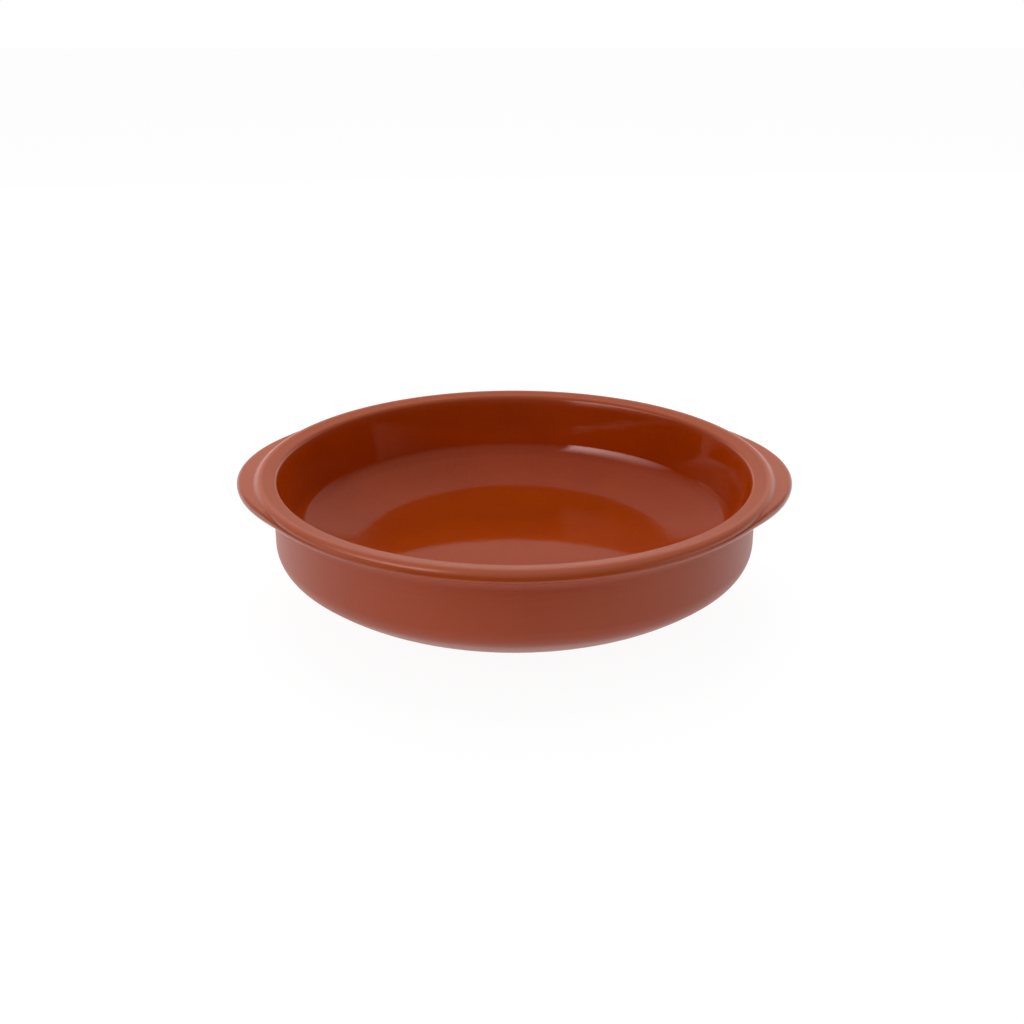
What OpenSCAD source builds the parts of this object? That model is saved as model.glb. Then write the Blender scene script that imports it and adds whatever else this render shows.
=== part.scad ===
/* [Dish] */
// Diameter over the rim
rim_d = 280; // [250:1:330]
// Height from the foot to the top of the rim
dish_h = 66; // [56:1:80]
// How far the rim stands out from the wall
rim_out = 9.5; // [8:0.5:14]
// Diameter of the flat foot
foot_d = 146; // [120:1:170]
// Height at which the upright wall starts to turn in
shoulder_h = 30.5; // [24:0.5:36]
// Radius of that turn
shoulder_r = 14.5; // [8:0.5:20]

/* [Inside] */
// Thickness of the wall just under the lip
wall_t = 2.5; // [2:0.1:6]
// Lean of the inner wall from upright, in degrees
wall_lean = 12; // [6:0.5:14]
// Depth under the rim at which the inner wall starts to turn into the floor
wall_depth = 29; // [24:0.5:32]
// Radius of the turn between the inner wall and the floor
corner_r = 12; // [8:0.5:16]
// Thickness of the floor at its middle
floor_t = 15.5; // [10:0.5:18]
// Diameter of the level middle of the floor
level_d = 130; // [90:1:136]

/* [Rim] */
// Height of the rim bead's outer face
rim_h = 6.8; // [6:0.2:10]
// Radius of the bead's upper outer edge
rim_top_r = 3; // [1:0.1:3.4]
// Radius of the bead's lower outer edge
rim_low_r = 2.2; // [1:0.1:2.6]
// Radius of the lip's inner edge
lip_r = 2.5; // [2:0.1:4]
// How much lower the rim's land is at the lip than at the bead
land_drop = 1; // [0.4:0.1:2]
// Radius of the cove under the bead
cove_r = 7; // [4:0.5:9]

/* [Ears] */
// How far an ear stands out from the rim
ear_out = 10; // [6:0.2:16]
// Radius of an ear's outline, seen from above
ear_r = 98; // [60:1:120]
// Thickness of an ear
ear_t = 6; // [5.8:0.1:8]
// Step from the top of the rim down to the top of an ear
ear_step = 2; // [1.4:0.1:3]
// Radius of an ear's upper edge
ear_top_r = 2; // [1:0.1:2.2]
// Radius of an ear's lower edge
ear_low_r = 3.4; // [2:0.1:3.6]
// Radius of the cove between an ear's top and the bead
ear_cove_r = 1.5; // [0.5:0.1:2]

/* [Hidden] */
// facets of a full turn, and of the small circles in the sections
$fn = 88;
edge_fn = 16;
clay = [0.72, 0.36, 0.25];
// how far the cutting shape stands above the rim
over = 2;

rim_r = rim_d / 2;
body_r = rim_r - rim_out;
foot_r = foot_d / 2;
level_r = level_d / 2;

// The underside's long curve is tangent to the foot and to the shoulder's turn.
shoulder_c = [body_r - shoulder_r, shoulder_h];
under_turn = 2 * atan((shoulder_h - shoulder_r) / (body_r - shoulder_r - foot_r));
under_r = (body_r - shoulder_r - foot_r) / sin(under_turn) + shoulder_r;
under_c = [foot_r, under_r];
under_end = under_c + under_r * [sin(under_turn), -cos(under_turn)];

// The rim's land slopes from the bead's top down to a tangent on the lip's edge.
lip_c = [body_r - wall_t + lip_r, dish_h - land_drop - lip_r];
land_start = [rim_r - rim_top_r, dish_h];
land_angle = atan2(land_drop, land_start[0] - lip_c[0]);
lip_top = lip_c + lip_r * [-sin(land_angle), cos(land_angle)];

// The inner wall leans in from a tangent on the lip's edge down to its turn.
wall_top = lip_c + lip_r * [-cos(wall_lean), sin(wall_lean)];
wall_end = [
    wall_top[0] - (wall_top[1] - dish_h + wall_depth) * tan(wall_lean),
    dish_h - wall_depth
];
corner_c = wall_end + corner_r * [-cos(wall_lean), sin(wall_lean)];

// The floor's long curve is tangent to its level middle and to the corner's turn.
floor_run = corner_c[0] - level_r;
floor_rise = corner_c[1] - floor_t;
floor_r = (floor_run * floor_run + floor_rise * floor_rise - corner_r * corner_r)
    / (2 * (floor_rise - corner_r));
floor_c = [level_r, floor_t + floor_r];
floor_turn = atan2(corner_c[0] - floor_c[0], floor_c[1] - corner_c[1]);
floor_end = floor_c + floor_r * [sin(floor_turn), -cos(floor_turn)];

// The cove under the bead ends where the bead's lower edge starts to turn.
cove = min(cove_r, rim_out - rim_low_r);

ear_x = rim_r + ear_out - ear_r;
ear_top = dish_h - ear_step;

// The small cove beside the bead is tangent to an ear's top and to the bead's rounded edge.
bead_c = [rim_r - rim_top_r, dish_h - rim_top_r];
ear_cove_rise = ear_top + ear_cove_r - bead_c[1];
ear_cove_run = sqrt(pow(rim_top_r + ear_cove_r, 2) - pow(ear_cove_rise, 2));
ear_cove_c = bead_c + [ear_cove_run, ear_cove_rise];

// Slice of a disc from its centre to the arc from p to q, which both lie on its edge.
module slice(centre, radius, p, q) {
    reach = 1.5;
    intersection() {
        translate(centre) circle(radius);
        polygon([centre, centre + reach * (p - centre), centre + reach * (q - centre)]);
    }
}

// Half section of a disc with a rounded upper and lower edge, its top at height top.
module rounded_plate(radius, thickness, upper_r, lower_r, top) {
    bottom = top - thickness;
    translate([0, bottom]) square([radius - lower_r, thickness - upper_r]);
    translate([0, bottom + lower_r]) square([radius - upper_r, thickness - lower_r]);
    translate([0, bottom + lower_r]) square([radius, thickness - lower_r - upper_r]);
    translate([radius - upper_r, top - upper_r]) circle(upper_r, $fn = edge_fn);
    translate([radius - lower_r, bottom + lower_r]) circle(lower_r, $fn = edge_fn);
}

// Half section of the solid body: foot, long curve, shoulder and upright wall.
module body_half() {
    body_top = dish_h - rim_h / 2;
    polygon([
        [0, 0],
        [foot_r, 0],
        under_end,
        [body_r, shoulder_h],
        [body_r, body_top],
        [0, body_top]
    ]);
    intersection() {
        square([body_r, body_top]);
        slice(under_c, under_r, [foot_r, 0], under_end);
    }
    slice(shoulder_c, shoulder_r, under_end, [body_r, shoulder_h]);
}

// Half section of the cove that carries the bead on the wall.
module cove_half() {
    cove_z = dish_h - rim_h - cove;
    difference() {
        translate([body_r - cove, cove_z]) square([2 * cove, cove + rim_low_r]);
        translate([body_r + cove, cove_z]) circle(cove, $fn = edge_fn);
    }
}

// Half section of the hollow: sloping land, rounded lip, leaning wall, corner and dished floor.
module hollow_half() {
    difference() {
        polygon([
            [0, floor_t],
            [level_r, floor_t],
            floor_end,
            wall_end,
            wall_top,
            lip_c,
            lip_top,
            land_start,
            [rim_r, dish_h + over],
            [0, dish_h + over]
        ]);
        translate(lip_c) circle(lip_r, $fn = edge_fn);
    }
    slice(floor_c, floor_r, [level_r, floor_t], floor_end);
    slice(corner_c, corner_r, floor_end, wall_end);
}

// Turned form with its rim bead.
module turned_body() {
    rotate_extrude() {
        body_half();
        cove_half();
        rounded_plate(rim_r, rim_h, rim_top_r, rim_low_r, dish_h);
    }
}

// Half section of the small cove between an ear's top and the bead.
module ear_cove_half() {
    difference() {
        polygon([
            bead_c,
            ear_cove_c,
            [ear_cove_c[0], ear_top - ear_cove_r],
            [bead_c[0], ear_top - ear_cove_r]
        ]);
        translate(ear_cove_c) circle(ear_cove_r, $fn = edge_fn);
    }
}

// One ear is a slim round plate set off to the side, which the hollow cuts open.
module ear() {
    translate([ear_x, 0, 0]) rotate_extrude() {
        rounded_plate(ear_r, ear_t, ear_top_r, ear_low_r, ear_top);
    }
    intersection() {
        rotate_extrude() ear_cove_half();
        translate([ear_x, 0, 0]) cylinder(h = dish_h, r = ear_r - ear_top_r);
    }
}

module dish() {
    color(clay) difference() {
        union() {
            turned_body();
            ear();
            mirror([1, 0, 0]) ear();
        }
        rotate_extrude() hollow_half();
    }
}

dish();
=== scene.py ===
import math

import bpy
import numpy as np
from mathutils import Matrix, Vector


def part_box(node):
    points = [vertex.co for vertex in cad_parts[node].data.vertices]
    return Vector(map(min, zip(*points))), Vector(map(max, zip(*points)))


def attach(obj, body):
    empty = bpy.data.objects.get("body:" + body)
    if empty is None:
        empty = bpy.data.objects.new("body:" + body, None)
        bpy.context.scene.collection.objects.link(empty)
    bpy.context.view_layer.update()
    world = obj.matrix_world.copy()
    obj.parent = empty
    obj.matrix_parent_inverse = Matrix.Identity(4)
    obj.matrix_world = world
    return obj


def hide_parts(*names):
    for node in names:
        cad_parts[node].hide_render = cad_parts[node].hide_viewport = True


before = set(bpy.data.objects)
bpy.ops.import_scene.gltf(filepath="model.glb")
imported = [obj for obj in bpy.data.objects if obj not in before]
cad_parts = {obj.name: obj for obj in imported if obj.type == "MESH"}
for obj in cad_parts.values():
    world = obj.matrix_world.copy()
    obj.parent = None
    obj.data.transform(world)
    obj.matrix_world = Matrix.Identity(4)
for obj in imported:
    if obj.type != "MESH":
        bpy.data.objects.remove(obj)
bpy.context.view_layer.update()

foot_corner, rim_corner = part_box("dish")

# Lengths below are in millimetres and go into the meshes in metres
MM = 0.001

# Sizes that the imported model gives
DISH_H = (rim_corner[2] - foot_corner[2]) / MM
RIM_R = (rim_corner[1] - foot_corner[1]) / 2 / MM
EARS_R = (rim_corner[0] - foot_corner[0]) / 2 / MM

# Body, and how far the rim stands out from its wall
RIM_OUT = 9.5
BODY_R = RIM_R - RIM_OUT
FOOT_R = 73.0
SHOULDER_H = 30.5
SHOULDER_R = 14.5

# Inside
WALL_T = 2.5
WALL_LEAN = math.radians(12.0)
WALL_DEPTH = 29.0
CORNER_R = 12.0
FLOOR_T = 15.5
LEVEL_R = 65.0

# Rim bead
RIM_H = 6.8
RIM_TOP_R = 3.0
RIM_LOW_R = 2.2
LIP_R = 2.5
LAND_DROP = 1.0
COVE_R = 7.0

# Ears
EAR_R = 98.0
EAR_T = 6.0
EAR_STEP = 2.0
EAR_TOP_R = 2.0
EAR_LOW_R = 3.4
EAR_COVE_R = 1.5

# Where an ear runs out into the bead: softness of its outline, the reach past which it is whole, and
# how far above the bead's lower edge its own edge and its root end on the bead's face
EAR_BLEND = 4.0
EAR_WHOLE = 3.2
EDGE_END = 2.7
ROOT_END = 3.25

# Roundings of the edge and the root there, in place of those of a whole ear
EDGE_END_R = 0.25
ROOT_END_R = 0.3

# How far these roundings reach at most: a share of the ear's reach, and a little at its end, so that
# the two never meet
EDGE_SHARE = 0.45
EDGE_LEAST = 0.15
ROOT_SHARE = 0.4
ROOT_LEAST = 0.1

# Share of the upright under the bead that the cove's rounding takes
COVE_SHARE = 0.98

# Bend between the bead's level top and the land: how far in from the bead's rounding, and its reach
BEND_IN = 1.0
BEND_REACH = 0.9

# End of the rim's path on the land, measured out from the lip's centre and up from its top
PATH_END_OUT = 0.3
PATH_END_UP = 0.05

# Grid of the turned surface: steps around, along each rounding and straight of the rim, and along
# the other parts of the section, from the foot's middle to the floor's middle
TURN_STEPS = 448
CORNER_STEPS = 8
STRAIGHT_STEPS = 2
FOOT_STEPS = 9
UNDER_STEPS = 20
SHOULDER_STEPS = 12
WALL_STEPS = 8
LIP_STEPS = 12
LEAN_STEPS = 10
TURN_IN_STEPS = 22
FLOOR_STEPS = 26
LEVEL_STEPS = 8

# How far the lamps stand from the dish, and how high the point is that they face, in metres
LAMP_WAY = 1.3
LAMP_AIM = (0.0, 0.0, 0.05)


def arc(centre, radius, start, end, count):
    """Points on a circle: centre + radius * (sin a, -cos a), with a from start to end.

    At a = 0 the point is the lowest of the circle, and at a quarter turn the outermost.
    """
    a = np.linspace(start, end, count)[:, None]
    return np.asarray(centre) + radius * np.hstack([np.sin(a), -np.cos(a)])


def line(start, end, count):
    """Points at equal steps from start to end, without start."""
    t = np.linspace(0, 1, count + 1)[1:, None]
    return np.asarray(start) * (1 - t) + np.asarray(end) * t


def smooth_step(value, low, high):
    """0 below low, 1 above high, and t * t * (3 - 2t) between them."""
    t = np.clip((value - low) / (high - low), 0, 1)
    return t * t * (3 - 2 * t)


def under_section():
    """Foot, long curve, shoulder and upright wall.

    The two arcs are tangent to the foot, to each other and to the wall. With run and rise from the
    foot's edge to the shoulder's centre, less the shoulder's radius, they meet at the turn
    2 atan(rise / run).
    """
    run = BODY_R - SHOULDER_R - FOOT_R
    turn = 2 * math.atan((SHOULDER_H - SHOULDER_R) / run)
    long_r = run / math.sin(turn) + SHOULDER_R
    cove_foot = DISH_H - RIM_H - COVE_R
    return np.vstack([
        line((0, 0), (FOOT_R, 0), FOOT_STEPS),
        arc((FOOT_R, long_r), long_r, 0, turn, UNDER_STEPS)[1:],
        arc((BODY_R - SHOULDER_R, SHOULDER_H), SHOULDER_R, turn, math.pi / 2, SHOULDER_STEPS)[1:],
        line((BODY_R, SHOULDER_H), (BODY_R, cove_foot), WALL_STEPS),
    ])


def inner_section():
    """Lip edge, leaning wall, corner and dished floor, all tangent, down to the middle of the floor.

    The floor's long arc is tangent to its level middle and to the corner's arc. With a and b the
    way from the level part's edge to the corner's centre, its radius is (a a + b b - r r) / 2 (b - r).
    """
    lip_c = np.array([BODY_R - WALL_T + LIP_R, DISH_H - LAND_DROP - LIP_R])
    land_turn = math.atan2(LAND_DROP, RIM_R - RIM_TOP_R - lip_c[0])
    lean = np.array([-math.cos(WALL_LEAN), math.sin(WALL_LEAN)])
    wall_top = lip_c + LIP_R * lean
    wall_z = DISH_H - WALL_DEPTH
    wall_end = np.array([wall_top[0] - (wall_top[1] - wall_z) * math.tan(WALL_LEAN), wall_z])
    corner_c = wall_end + CORNER_R * lean
    run, rise = corner_c - (LEVEL_R, FLOOR_T)
    long_r = (run * run + rise * rise - CORNER_R * CORNER_R) / (2 * (rise - CORNER_R))
    turn = math.atan2(run, FLOOR_T + long_r - corner_c[1])
    floor = arc((LEVEL_R, FLOOR_T + long_r), long_r, turn, 0, FLOOR_STEPS)
    return np.vstack([
        arc(lip_c, LIP_R, math.pi + land_turn, 1.5 * math.pi - WALL_LEAN, LIP_STEPS),
        line(wall_top, wall_end, LEAN_STEPS),
        arc(corner_c, CORNER_R, math.pi / 2 - WALL_LEAN, turn, TURN_IN_STEPS)[1:],
        floor[1:],
        line(floor[-1], (0, FLOOR_T), LEVEL_STEPS)[:-1],
    ])


def ear_reach(turn):
    """How far the ears stand out from the rim at each turn: a circle set off to the side, blended in.

    With c the offset, the circle's edge is c cos + sqrt(R R - c c sin sin). With d the way from the
    rim to it, the smooth step out is (d + sqrt(d d + k k)) / 2, brought to 0 at a quarter turn.
    """
    offset = EARS_R - EAR_R

    def step_out(angle):
        plate = offset * np.abs(np.cos(angle)) + np.sqrt(EAR_R ** 2 - (offset * np.sin(angle)) ** 2)
        return (plate - RIM_R + np.hypot(plate - RIM_R, EAR_BLEND)) / 2

    least = step_out(math.pi / 2)
    return np.maximum(step_out(turn) - least, 0) * (EARS_R - RIM_R) / (step_out(0.0) - least)


def rounded_path(corners, reach):
    """A path through corners with each inner one rounded, for every turn at once.

    corners is turns x corners x 2. A corner C is cut back by reach along both sides, to A and B, and
    rounded by the circle's arc (A (1-t)^2 + C w 2t(1-t) + B t^2) / ((1-t)^2 + w 2t(1-t) + t^2), where
    w is the sine of half the corner's angle.
    """
    t = np.linspace(0, 1, CORNER_STEPS + 1)[None, :, None]
    step = np.linspace(0, 1, STRAIGHT_STEPS + 2)[None, 1:-1, None]
    last = corners[:, 0]
    parts = []
    for i in range(1, corners.shape[1] - 1):
        here = corners[:, i]
        back = corners[:, i - 1] - here
        back = back / np.linalg.norm(back, axis=1, keepdims=True)
        ahead = corners[:, i + 1] - here
        ahead = ahead / np.linalg.norm(ahead, axis=1, keepdims=True)
        a = here + back * reach[i][:, None]
        b = here + ahead * reach[i][:, None]
        half_sine = np.sqrt((1 - np.sum(back * ahead, axis=1)) / 2)
        weight = half_sine[:, None, None] * 2 * t * (1 - t)
        share = (1 - t) ** 2 + weight + t ** 2
        parts.append(last[:, None] * (1 - step) + a[:, None] * step)
        parts.append((a[:, None] * (1 - t) ** 2 + here[:, None] * weight + b[:, None] * t ** 2) / share)
        last = b
    parts.append(last[:, None] * (1 - step) + corners[:, -1][:, None] * step)
    return np.concatenate(parts, axis=1)


def rim_section(turn):
    """Cove, underside, edge and top of the ear, the bead and the rim's land, for each turn.

    Corners go from the wall out to the ear's edge, up, back in to the bead, up to its top and down
    the land. As the ear runs out into the rim, its top slides down the bead's face, so that it ends
    in no step. Where it is whole, the bead's edge and the small cove share a slanted tangent.
    """
    out = ear_reach(turn)
    ear = smooth_step(out, 0, EAR_WHOLE)
    cove_foot = DISH_H - RIM_H - COVE_R
    ear_top = DISH_H - EAR_STEP
    bead_low = DISH_H - RIM_H
    # The slanted tangent between the cove's circle and the edge's circle
    rise = ear_top + EAR_COVE_R - (DISH_H - RIM_TOP_R)
    run = math.sqrt((RIM_TOP_R + EAR_COVE_R) ** 2 - rise ** 2)
    slant = math.atan2(run, rise)
    edge_reach = RIM_TOP_R * math.tan(slant / 2)
    cove_reach = EAR_COVE_R * math.tan(slant / 2)
    top_in = RIM_TOP_R - edge_reach
    root_in = RIM_TOP_R - run + cove_reach

    def blend(without, with_ear):
        return without + (with_ear - without) * ear

    def each(value):
        return np.broadcast_to(value, turn.shape)

    def point(radius, height):
        return np.stack([each(radius), each(height)], axis=1)

    low = blend(bead_low, ear_top - EAR_T)
    face = RIM_R + out
    root = point(blend(RIM_R, RIM_R - root_in), blend(bead_low + ROOT_END, ear_top))
    top = point(blend(RIM_R, RIM_R - top_in), DISH_H)
    corners = np.stack([
        point(BODY_R, cove_foot),
        point(BODY_R, low),
        point(face, low),
        point(face, blend(bead_low + EDGE_END, ear_top)),
        root,
        top,
        point(RIM_R - RIM_TOP_R - BEND_IN, DISH_H),
        point(BODY_R - WALL_T + LIP_R + PATH_END_OUT, DISH_H - LAND_DROP + PATH_END_UP),
    ], axis=1)
    root_reach = blend(ROOT_END_R, cove_reach)
    # How far each corner's rounding reaches along its sides
    reach = [
        None,
        np.minimum(COVE_R, low - cove_foot) * COVE_SHARE,
        blend(RIM_LOW_R, EAR_LOW_R),
        np.minimum(blend(EDGE_END_R, EAR_TOP_R), EDGE_LEAST + EDGE_SHARE * out),
        np.minimum(root_reach, ROOT_LEAST + ROOT_SHARE * out),
        np.minimum(blend(RIM_TOP_R, edge_reach), np.linalg.norm(top - root, axis=1) - root_reach),
        each(BEND_REACH),
    ]
    return rounded_path(corners, reach)


def dish_grid():
    """The whole section for each turn: foot, wall, cove and rim with the ears, then the inside.

    At turn a, a point of the section lies at (radius cos a, radius sin a, height). The second result
    is the number of rings on the bare wall.
    """
    turn = np.arange(TURN_STEPS) * (2 * math.pi / TURN_STEPS)
    under = under_section()
    inner = inner_section()
    rim = rim_section(turn)

    def spread(section):
        return np.broadcast_to(section, (TURN_STEPS,) + section.shape)

    section = np.concatenate([spread(under), rim, spread(inner)], axis=1)
    # The bare wall ends where the cove meets the underside of the bead and ears
    bare = len(under) + 2 * STRAIGHT_STEPS + CORNER_STEPS + 1
    radius, height = section[:, :, 0], section[:, :, 1]
    turn = turn[:, None]
    return np.stack([radius * np.cos(turn), radius * np.sin(turn), height], axis=-1), bare


def closed_turned_mesh(name, grid, low_pole, high_pole):
    """Mesh of a turned grid, turns x rings x 3, closed over the seam and by a fan at each pole.

    A quad goes along the turn and then up the section, so that it faces outwards.
    """
    turns, rings = grid.shape[:2]
    verts = np.concatenate([[low_pole], grid.transpose(1, 0, 2).reshape(-1, 3), [high_pole]]) * MM
    here = np.arange(turns)
    after = (here + 1) % turns
    base = 1 + np.arange(rings - 1)[:, None] * turns
    quads = np.stack([base + here, base + after, base + turns + after, base + turns + here], axis=-1)
    last = 1 + (rings - 1) * turns
    low_fan = np.stack([np.zeros(turns, int), 1 + after, 1 + here], axis=1)
    high_fan = np.stack([last + here, last + after, np.full(turns, last + turns)], axis=1)
    faces = low_fan.tolist() + quads.reshape(-1, 4).tolist() + high_fan.tolist()
    mesh = bpy.data.meshes.new(name)
    mesh.from_pydata(verts.tolist(), [], faces)
    mesh.polygons.foreach_set("use_smooth", np.ones(len(mesh.polygons), bool))
    mesh.update()
    return mesh


class Nodes:
    """Short hand for a material's or the world's node tree."""

    def __init__(self, tree):
        self.tree = tree
        tree.nodes.clear()

    def add(self, kind, inputs=None, **settings):
        """New node. Each input is linked if its value is another node's output, and else set."""
        node = self.tree.nodes.new(kind)
        for key, value in settings.items():
            setattr(node, key, value)
        for key, value in (inputs or {}).items():
            if isinstance(value, bpy.types.NodeSocket):
                self.tree.links.new(value, node.inputs[key])
            else:
                node.inputs[key].default_value = value
        return node

    def shader(self, kind, inputs=None):
        return self.add(kind, inputs).outputs[0]

    def noise(self, where, scale, detail=3.0, rough=0.55):
        """Noise with features of about 1 / scale metres, from 0 to 1."""
        inputs = {"Vector": where, "Scale": scale, "Detail": detail, "Roughness": rough}
        return self.add("ShaderNodeTexNoise", inputs).outputs["Fac"]

    def ramp(self, value, span, result=(0.0, 1.0)):
        """value carried from the range span to the range result, held at its ends."""
        low, high = span
        to_low, to_high = result
        inputs = {"Value": value, "From Min": low, "From Max": high, "To Min": to_low, "To Max": to_high}
        return self.add("ShaderNodeMapRange", inputs).outputs["Result"]

    def maths(self, operation, a, b):
        return self.add("ShaderNodeMath", {0: a, 1: b}, operation=operation).outputs["Value"]

    def times(self, a, b):
        return self.maths("MULTIPLY", a, b)

    def mix(self, share, a, b):
        """Colour a where share is 0, and b where it is 1."""
        return self.add("ShaderNodeMix", {0: share, 6: a, 7: b}, data_type="RGBA").outputs[2]

    def bump(self, height, depth, before=None):
        """Bump whose height of 1 stands for depth metres."""
        inputs = {"Height": height, "Distance": depth, "Strength": 1.0}
        if before is not None:
            inputs["Normal"] = before
        return self.add("ShaderNodeBump", inputs).outputs["Normal"]


def new_material(name):
    """A material with an empty node tree, and the short hand for it."""
    material = bpy.data.materials.new(name)
    material.use_nodes = True
    return material, Nodes(material.node_tree)


# Fired red clay as seen through the clear glaze: plain, darker, paler, on the rim, and a pale painted
# highlight on the bead's edge
CLAY = (0.46, 0.056, 0.001, 1)
CLAY_DARK = (0.38, 0.042, 0.0005, 1)
CLAY_LIGHT = (0.53, 0.070, 0.003, 1)
CLAY_RIM = (0.45, 0.084, 0.022, 1)
PAINTED_EDGE_HIGHLIGHT = (0.62, 0.150, 0.075, 1)

# The same clay on the bare wall
BARE = (0.48, 0.065, 0.010, 1)
BARE_DARK = (0.41, 0.053, 0.007, 1)
BARE_LIGHT = (0.55, 0.088, 0.020, 1)

# Tint of the glaze's sheen, and the roughness of the glaze and of the bare wall
SHEEN = (1.0, 0.72, 0.70, 1)
GLAZE_ROUGHNESS = (0.04, 0.07)
BARE_ROUGHNESS = (0.34, 0.46)

# Glaze on the rim: depths under the rim's top over which it thins out. Painted highlight on the bead's
# upper edge: depths under the top over which it starts and is full, and how far in from the rim's outside
THIN_DEPTHS = (6.5, 2.0)
HIGHLIGHT_DEPTHS = (3.2, 1.0)
HIGHLIGHT_INSETS = (5.0, 2.8)

# How far the thin glaze and the painted highlight go over to their own colours, and how much roughness the
# thin glaze adds
THIN_SHARE = 0.75
HIGHLIGHT_SHARE = 0.7
THIN_ROUGHNESS = 0.20


def short_of(size, gaps):
    """Places that stop short of size by each of gaps, from millimetres to metres."""
    return [(size - gap) * MM for gap in gaps]


def ring_place(nodes, where):
    """Distance from the dish's axis, and height."""
    parts = nodes.add("ShaderNodeSeparateXYZ", {"Vector": where})
    flat = nodes.add("ShaderNodeCombineXYZ", {"X": parts.outputs["X"], "Y": parts.outputs["Y"]})
    length = nodes.add("ShaderNodeVectorMath", {0: flat.outputs["Vector"]}, operation="LENGTH")
    return length.outputs["Value"], parts.outputs["Z"]


def turned_rings(nodes, where, spacing):
    """Faint rings left by turning: bands of height and of distance from the middle, a little uneven."""
    radius, height = ring_place(nodes, where)
    along = nodes.maths("SUBTRACT", radius, height)
    sway = nodes.times(nodes.noise(where, scale=22.0, detail=1.0), spacing * 1.5)
    phase = nodes.add("ShaderNodeCombineXYZ", {"X": nodes.maths("ADD", along, sway)})
    return nodes.noise(phase.outputs["Vector"], scale=1 / spacing, detail=2.0, rough=0.6)


def glazed_clay():
    """Clear glossy glaze over red clay: soft mottling, darker where it pooled, and a wavy skin.

    On the rim and ears, where the glaze ran thin, the clay shows paler and the gloss is softer. A
    painted highlight makes the upper edge of the bead the palest.
    """
    material, nodes = new_material("glazed_clay")
    where = nodes.add("ShaderNodeTexCoord").outputs["Object"]
    broad = nodes.noise(where, scale=26.0)
    fine = nodes.noise(where, scale=420.0, detail=4.0, rough=0.7)
    rings = turned_rings(nodes, where, spacing=0.0042)
    # Noise keeps mostly to the middle of its range, so the ramps start and end there
    colour = nodes.mix(nodes.ramp(broad, (0.35, 0.68), (0.0, 0.55)), CLAY, CLAY_DARK)
    colour = nodes.mix(nodes.ramp(fine, (0.42, 0.72), (0.0, 0.30)), colour, CLAY_LIGHT)
    colour = nodes.mix(nodes.ramp(rings, (0.35, 0.65), (0.0, 0.14)), colour, CLAY_DARK)
    radius, height = ring_place(nodes, where)
    thin = nodes.ramp(height, short_of(DISH_H, THIN_DEPTHS))
    colour = nodes.mix(nodes.times(thin, THIN_SHARE), colour, CLAY_RIM)
    # Painted highlight: the bead's upper outer edge goes over to a pale colour
    outer = nodes.ramp(radius, short_of(RIM_R, HIGHLIGHT_INSETS), (0.0, HIGHLIGHT_SHARE))
    upper = nodes.ramp(height, short_of(DISH_H, HIGHLIGHT_DEPTHS))
    colour = nodes.mix(nodes.times(outer, upper), colour, PAINTED_EDGE_HIGHLIGHT)
    glassy = nodes.ramp(broad, (0.3, 0.7), GLAZE_ROUGHNESS)
    roughness = nodes.maths("ADD", glassy, nodes.times(thin, THIN_ROUGHNESS))
    normal = nodes.bump(rings, depth=0.00003)
    normal = nodes.bump(nodes.noise(where, scale=95.0, detail=2.0), depth=0.00003, before=normal)
    normal = nodes.bump(fine, depth=0.000008, before=normal)
    inputs = {"Base Color": colour, "Roughness": roughness, "Normal": normal, "Specular Tint": SHEEN}
    nodes.add("ShaderNodeOutputMaterial", {"Surface": nodes.shader("ShaderNodeBsdfPrincipled", inputs)})
    return material


def bare_clay():
    """Satin fired clay of the outside wall: soft mottling, fine pale grit and faint turned rings."""
    material, nodes = new_material("bare_clay")
    where = nodes.add("ShaderNodeTexCoord").outputs["Object"]
    broad = nodes.noise(where, scale=18.0)
    grit = nodes.noise(where, scale=900.0, detail=4.0, rough=0.75)
    rings = turned_rings(nodes, where, spacing=0.0030)
    colour = nodes.mix(nodes.ramp(broad, (0.35, 0.7), (0.0, 0.5)), BARE, BARE_DARK)
    colour = nodes.mix(nodes.ramp(grit, (0.45, 0.75), (0.0, 0.35)), colour, BARE_LIGHT)
    colour = nodes.mix(nodes.ramp(rings, (0.35, 0.65), (0.0, 0.16)), colour, BARE_DARK)
    roughness = nodes.ramp(grit, (0.3, 0.75), BARE_ROUGHNESS)
    normal = nodes.bump(rings, depth=0.00008)
    normal = nodes.bump(grit, depth=0.00003, before=normal)
    inputs = {"Base Color": colour, "Roughness": roughness, "Normal": normal}
    nodes.add("ShaderNodeOutputMaterial", {"Surface": nodes.shader("ShaderNodeBsdfPrincipled", inputs)})
    return material


def make_dish():
    """The dish in one piece: glazed clay, and bare clay from the foot up to the underside of the bead."""
    grid, bare_rings = dish_grid()
    mesh = closed_turned_mesh("dish_clay", grid, (0, 0, 0), (0, 0, FLOOR_T))
    mesh.materials.append(glazed_clay())
    mesh.materials.append(bare_clay())
    # The faces start with the foot's fan, which is bare too
    slots = np.zeros(len(mesh.polygons), int)
    slots[:TURN_STEPS * (bare_rings + 1)] = 1
    mesh.polygons.foreach_set("material_index", slots)
    piece = bpy.data.objects.new("dish_clay", mesh)
    bpy.context.collection.objects.link(piece)
    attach(piece, "root")
    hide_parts("dish")


def flat_card(name, across, deep, height, material):
    """Level rectangle that faces up, over the ranges across (along X) and deep (along Y)."""
    left, right = across
    near, far = deep
    corners = [(left, near, height), (right, near, height), (right, far, height), (left, far, height)]
    mesh = bpy.data.meshes.new(name)
    mesh.from_pydata(corners, [], [(0, 1, 2, 3)])
    mesh.materials.append(material)
    card = bpy.data.objects.new(name, mesh)
    bpy.context.collection.objects.link(card)
    return card


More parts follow.
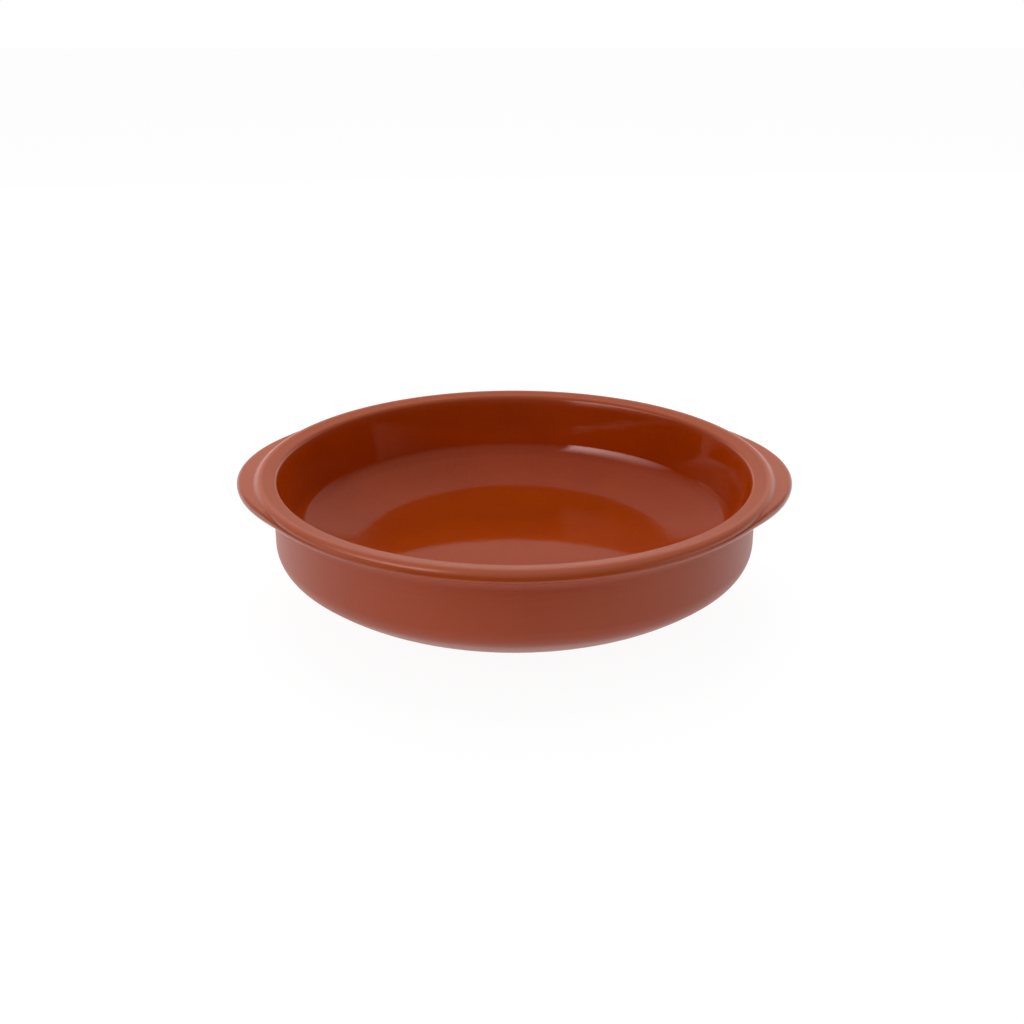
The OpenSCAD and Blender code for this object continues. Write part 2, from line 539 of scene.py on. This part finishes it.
def make_floor():
    """Pale floor. To the camera and in gloss it is plain white, with the dish's soft shadow kept.

    It lies a hair under the foot, and from below it is clear, so that the underside can be seen.
    """
    reach = 4.0
    hair = 0.0002
    pale = (0.90, 0.90, 0.90, 1)
    plain_white = 1.07
    plain_share = 0.88
    material, nodes = new_material("studio_white")
    path = nodes.add("ShaderNodeLightPath")
    seen = nodes.maths("MAXIMUM", path.outputs["Is Camera Ray"], path.outputs["Is Glossy Ray"])
    seen = nodes.maths("MAXIMUM", seen, path.outputs["Is Transmission Ray"])
    matte = nodes.shader("ShaderNodeBsdfDiffuse", {"Color": pale})
    white = nodes.shader("ShaderNodeEmission", {"Color": (1, 1, 1, 1), "Strength": plain_white})
    share = nodes.times(seen, plain_share)
    above = nodes.shader("ShaderNodeMixShader", {0: share, 1: matte, 2: white})
    from_below = nodes.add("ShaderNodeNewGeometry").outputs["Backfacing"]
    clear = nodes.shader("ShaderNodeBsdfTransparent")
    whole = nodes.shader("ShaderNodeMixShader", {0: from_below, 1: above, 2: clear})
    nodes.add("ShaderNodeOutputMaterial", {"Surface": whole})
    flat_card("studio_floor", (-reach, reach), (-reach, reach), -hair, material)


def make_flag():
    """Dark card low in front of the dish, seen in gloss alone, for the deep tone of the rim's face."""
    dark = (0.05, 0.05, 0.05, 1)
    material, nodes = new_material("flag_grey")
    matte = nodes.shader("ShaderNodeBsdfDiffuse", {"Color": dark})
    nodes.add("ShaderNodeOutputMaterial", {"Surface": matte})
    across = (-0.70, 0.70)
    deep = (-0.80, -0.215)
    flag = flat_card("studio_flag", across, deep, 0.002, material)
    flag.visible_camera = False
    flag.visible_shadow = False
    flag.visible_diffuse = False


# Strengths of the studio tent, where 1 is white
FRONT_DARK = 0.015
LOW_GREY = 0.10
TOP_GREY = 0.40
WINDOW_LIGHT = 6.0

# Parts of the tent, as ranges over which they fade. Heights are those of a direction of length 1, and
# turns are angles round from the front to the left, in radians
BEHIND = (0.10, 0.50)
FAR_BEHIND = (0.4, 0.8)
ASIDE = (0.12, 0.30)
WHITE_TOP = 0.09
WHITE_TOP_ASIDE = 0.18
WHITE_FADE = (-0.04, 0.08)
FRONT_HEIGHTS = (0.16, 0.60)
BACK_HEIGHTS = (0.05, 0.30)
WINDOW_RIGHT = (0.50, 0.58)
WINDOW_LEFT = (0.75, 1.65)
WINDOW_LOW = (0.12, 0.20)
WINDOW_HIGH = (0.40, 0.80)


def make_world():
    """Studio tent: a dark front, a grey top, and low down behind the dish the white of the background.

    The white stands higher a little to both sides. In gloss there is also a soft window of light on the
    left of the front: full near its right edge, and fading to its left and up. The camera sees plain
    white all round.
    """
    world = bpy.data.worlds.new("studio")
    bpy.context.scene.world = world
    world.use_nodes = True
    nodes = Nodes(world.node_tree)
    way = nodes.add("ShaderNodeTexCoord").outputs["Generated"]
    parts = nodes.add("ShaderNodeSeparateXYZ", {"Vector": way}).outputs
    side, depth, height = parts["X"], parts["Y"], parts["Z"]
    behind = nodes.ramp(depth, BEHIND)
    aside = nodes.ramp(nodes.maths("ABSOLUTE", side, 0.0), ASIDE, (0.0, WHITE_TOP_ASIDE))
    aside = nodes.times(aside, nodes.ramp(depth, FAR_BEHIND))
    top = nodes.maths("ADD", aside, WHITE_TOP)
    low = nodes.ramp(nodes.maths("SUBTRACT", height, top), WHITE_FADE, (1.0, 0.0))
    front_grey = nodes.ramp(height, FRONT_HEIGHTS, (FRONT_DARK, TOP_GREY))
    back_grey = nodes.ramp(height, BACK_HEIGHTS, (LOW_GREY, TOP_GREY))
    grey = nodes.maths("MAXIMUM", front_grey, nodes.times(back_grey, behind))
    tent = nodes.maths("MAXIMUM", nodes.times(low, behind), grey)
    turn = nodes.maths("ARCTAN2", nodes.times(side, -1.0), nodes.times(depth, -1.0))
    across = nodes.times(nodes.ramp(turn, WINDOW_RIGHT), nodes.ramp(turn, WINDOW_LEFT, (1.0, 0.0)))
    upward = nodes.times(nodes.ramp(height, WINDOW_LOW), nodes.ramp(height, WINDOW_HIGH, (1.0, 0.0)))
    path = nodes.add("ShaderNodeLightPath").outputs
    window = nodes.times(nodes.times(nodes.times(across, upward), WINDOW_LIGHT), path["Is Glossy Ray"])
    strength = nodes.maths("MAXIMUM", nodes.maths("ADD", tent, window), path["Is Camera Ray"])
    light = nodes.shader("ShaderNodeBackground", {"Color": (1, 1, 1, 1), "Strength": strength})
    nodes.add("ShaderNodeOutputWorld", {"Surface": light})


def look_at(place, aim):
    """Matrix of a camera or lamp at place that looks along -Z at aim, with +Y up."""
    back = (Vector(place) - Vector(aim)).normalized()
    side = Vector((0, 0, 1)).cross(back).normalized()
    up = back.cross(side)
    turned = Matrix((side, up, back)).transposed().to_4x4()
    return Matrix.Translation(place) @ turned


def soft_box(name, turn, rise, width, height, brightness):
    """Rectangular lamp that faces the dish, turn degrees round from the front to the left, rise degrees up.

    Its power gives a face as bright as brightness. Gloss shows the tent instead of the lamps.
    """
    turn = math.radians(turn)
    rise = math.radians(rise)
    way = (-math.sin(turn) * math.cos(rise), -math.cos(turn) * math.cos(rise), math.sin(rise))
    place = tuple(LAMP_WAY * step + start for step, start in zip(way, LAMP_AIM))
    data = bpy.data.lights.new(name, "AREA")
    data.shape = "RECTANGLE"
    data.size = width
    data.size_y = height
    data.energy = brightness * math.pi * width * height
    lamp = bpy.data.objects.new(name, data)
    bpy.context.collection.objects.link(lamp)
    lamp.matrix_world = look_at(place, LAMP_AIM)
    lamp.visible_glossy = False


def make_camera():
    """The photograph's view: straight on to the front, a little above the rim, through a normal lens."""
    distance = 0.785
    elevation = math.radians(22.1)
    aim = (-0.0013, 0.0, 0.0386)
    place = (aim[0], -distance * math.cos(elevation), aim[2] + distance * math.sin(elevation))
    data = bpy.data.cameras.new("camera")
    data.sensor_width = 36.0
    data.lens = 50.0
    data.clip_end = 50
    camera = bpy.data.objects.new("camera", data)
    bpy.context.collection.objects.link(camera)
    camera.matrix_world = look_at(place, aim)
    bpy.context.scene.camera = camera


make_camera()
make_world()
make_floor()
make_flag()
soft_box("left_lamp", turn=58, rise=26, width=1.16, height=0.66, brightness=0.6)
soft_box("back_lamp", turn=174, rise=20, width=1.60, height=0.46, brightness=5.5)
soft_box("top_lamp", turn=180, rise=65, width=1.20, height=1.20, brightness=1.1)
soft_box("front_lamp", turn=10, rise=5, width=1.40, height=0.18, brightness=2.6)
make_dish()

scene = bpy.context.scene
scene.view_settings.view_transform = "Standard"
